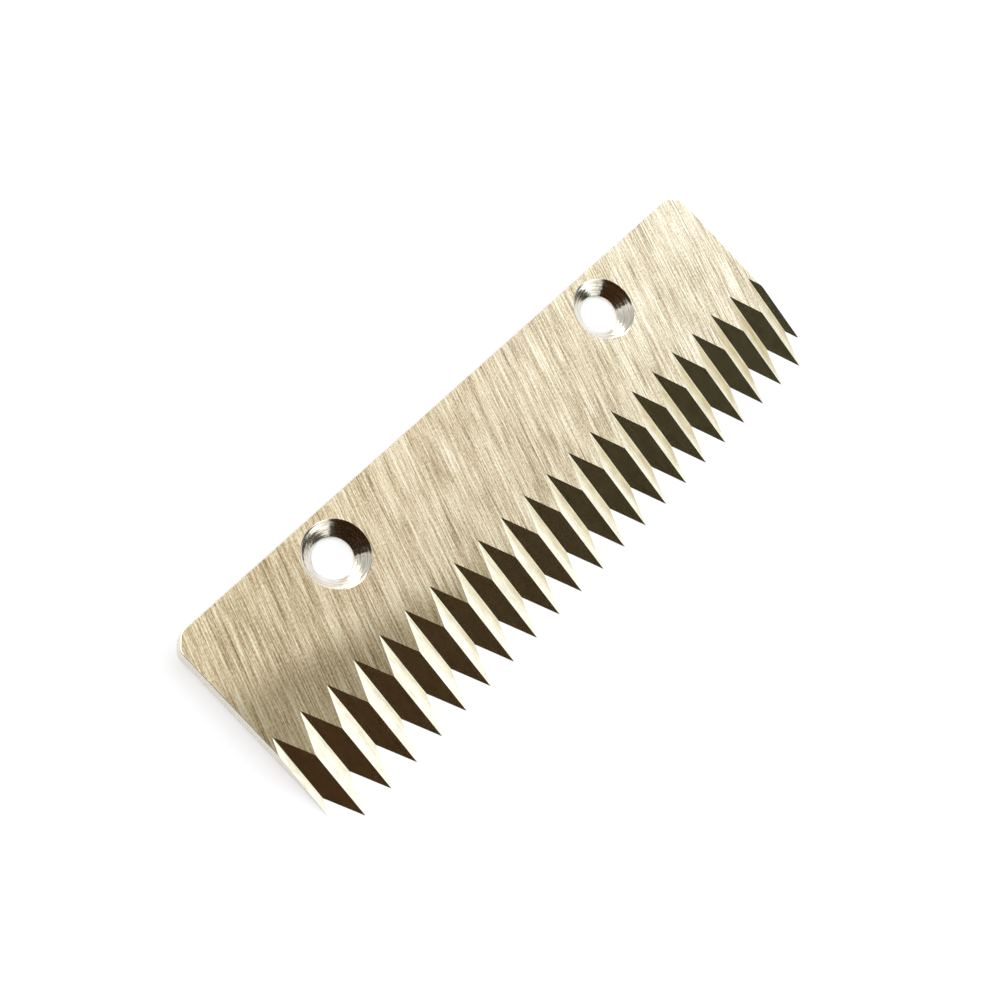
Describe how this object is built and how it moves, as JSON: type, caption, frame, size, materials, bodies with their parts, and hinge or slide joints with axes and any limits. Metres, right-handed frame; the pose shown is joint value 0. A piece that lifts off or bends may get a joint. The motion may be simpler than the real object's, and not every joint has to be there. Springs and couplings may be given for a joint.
{
  "type": "serrated blade",
  "caption": "Flat steel blade with a row of ground V-shaped teeth along its cutting edge and countersunk screw holes near its straight edge.",
  "frame": {"origin": "under the middle of the blade, on the plain back face that it lies on", "axes": "+X along the blade, +Y from the tooth points to the straight edge, +Z out of the top face, where the countersinks open"},
  "size_m": [0.12, 0.037, 0.0025],
  "materials": {
    "ground_steel": "surface ground, with the teeth finish ground and the screw seats turned"
  },
  "bodies": {
    "root": {"blade": "ground_steel"}
  },
  "joints": []
}
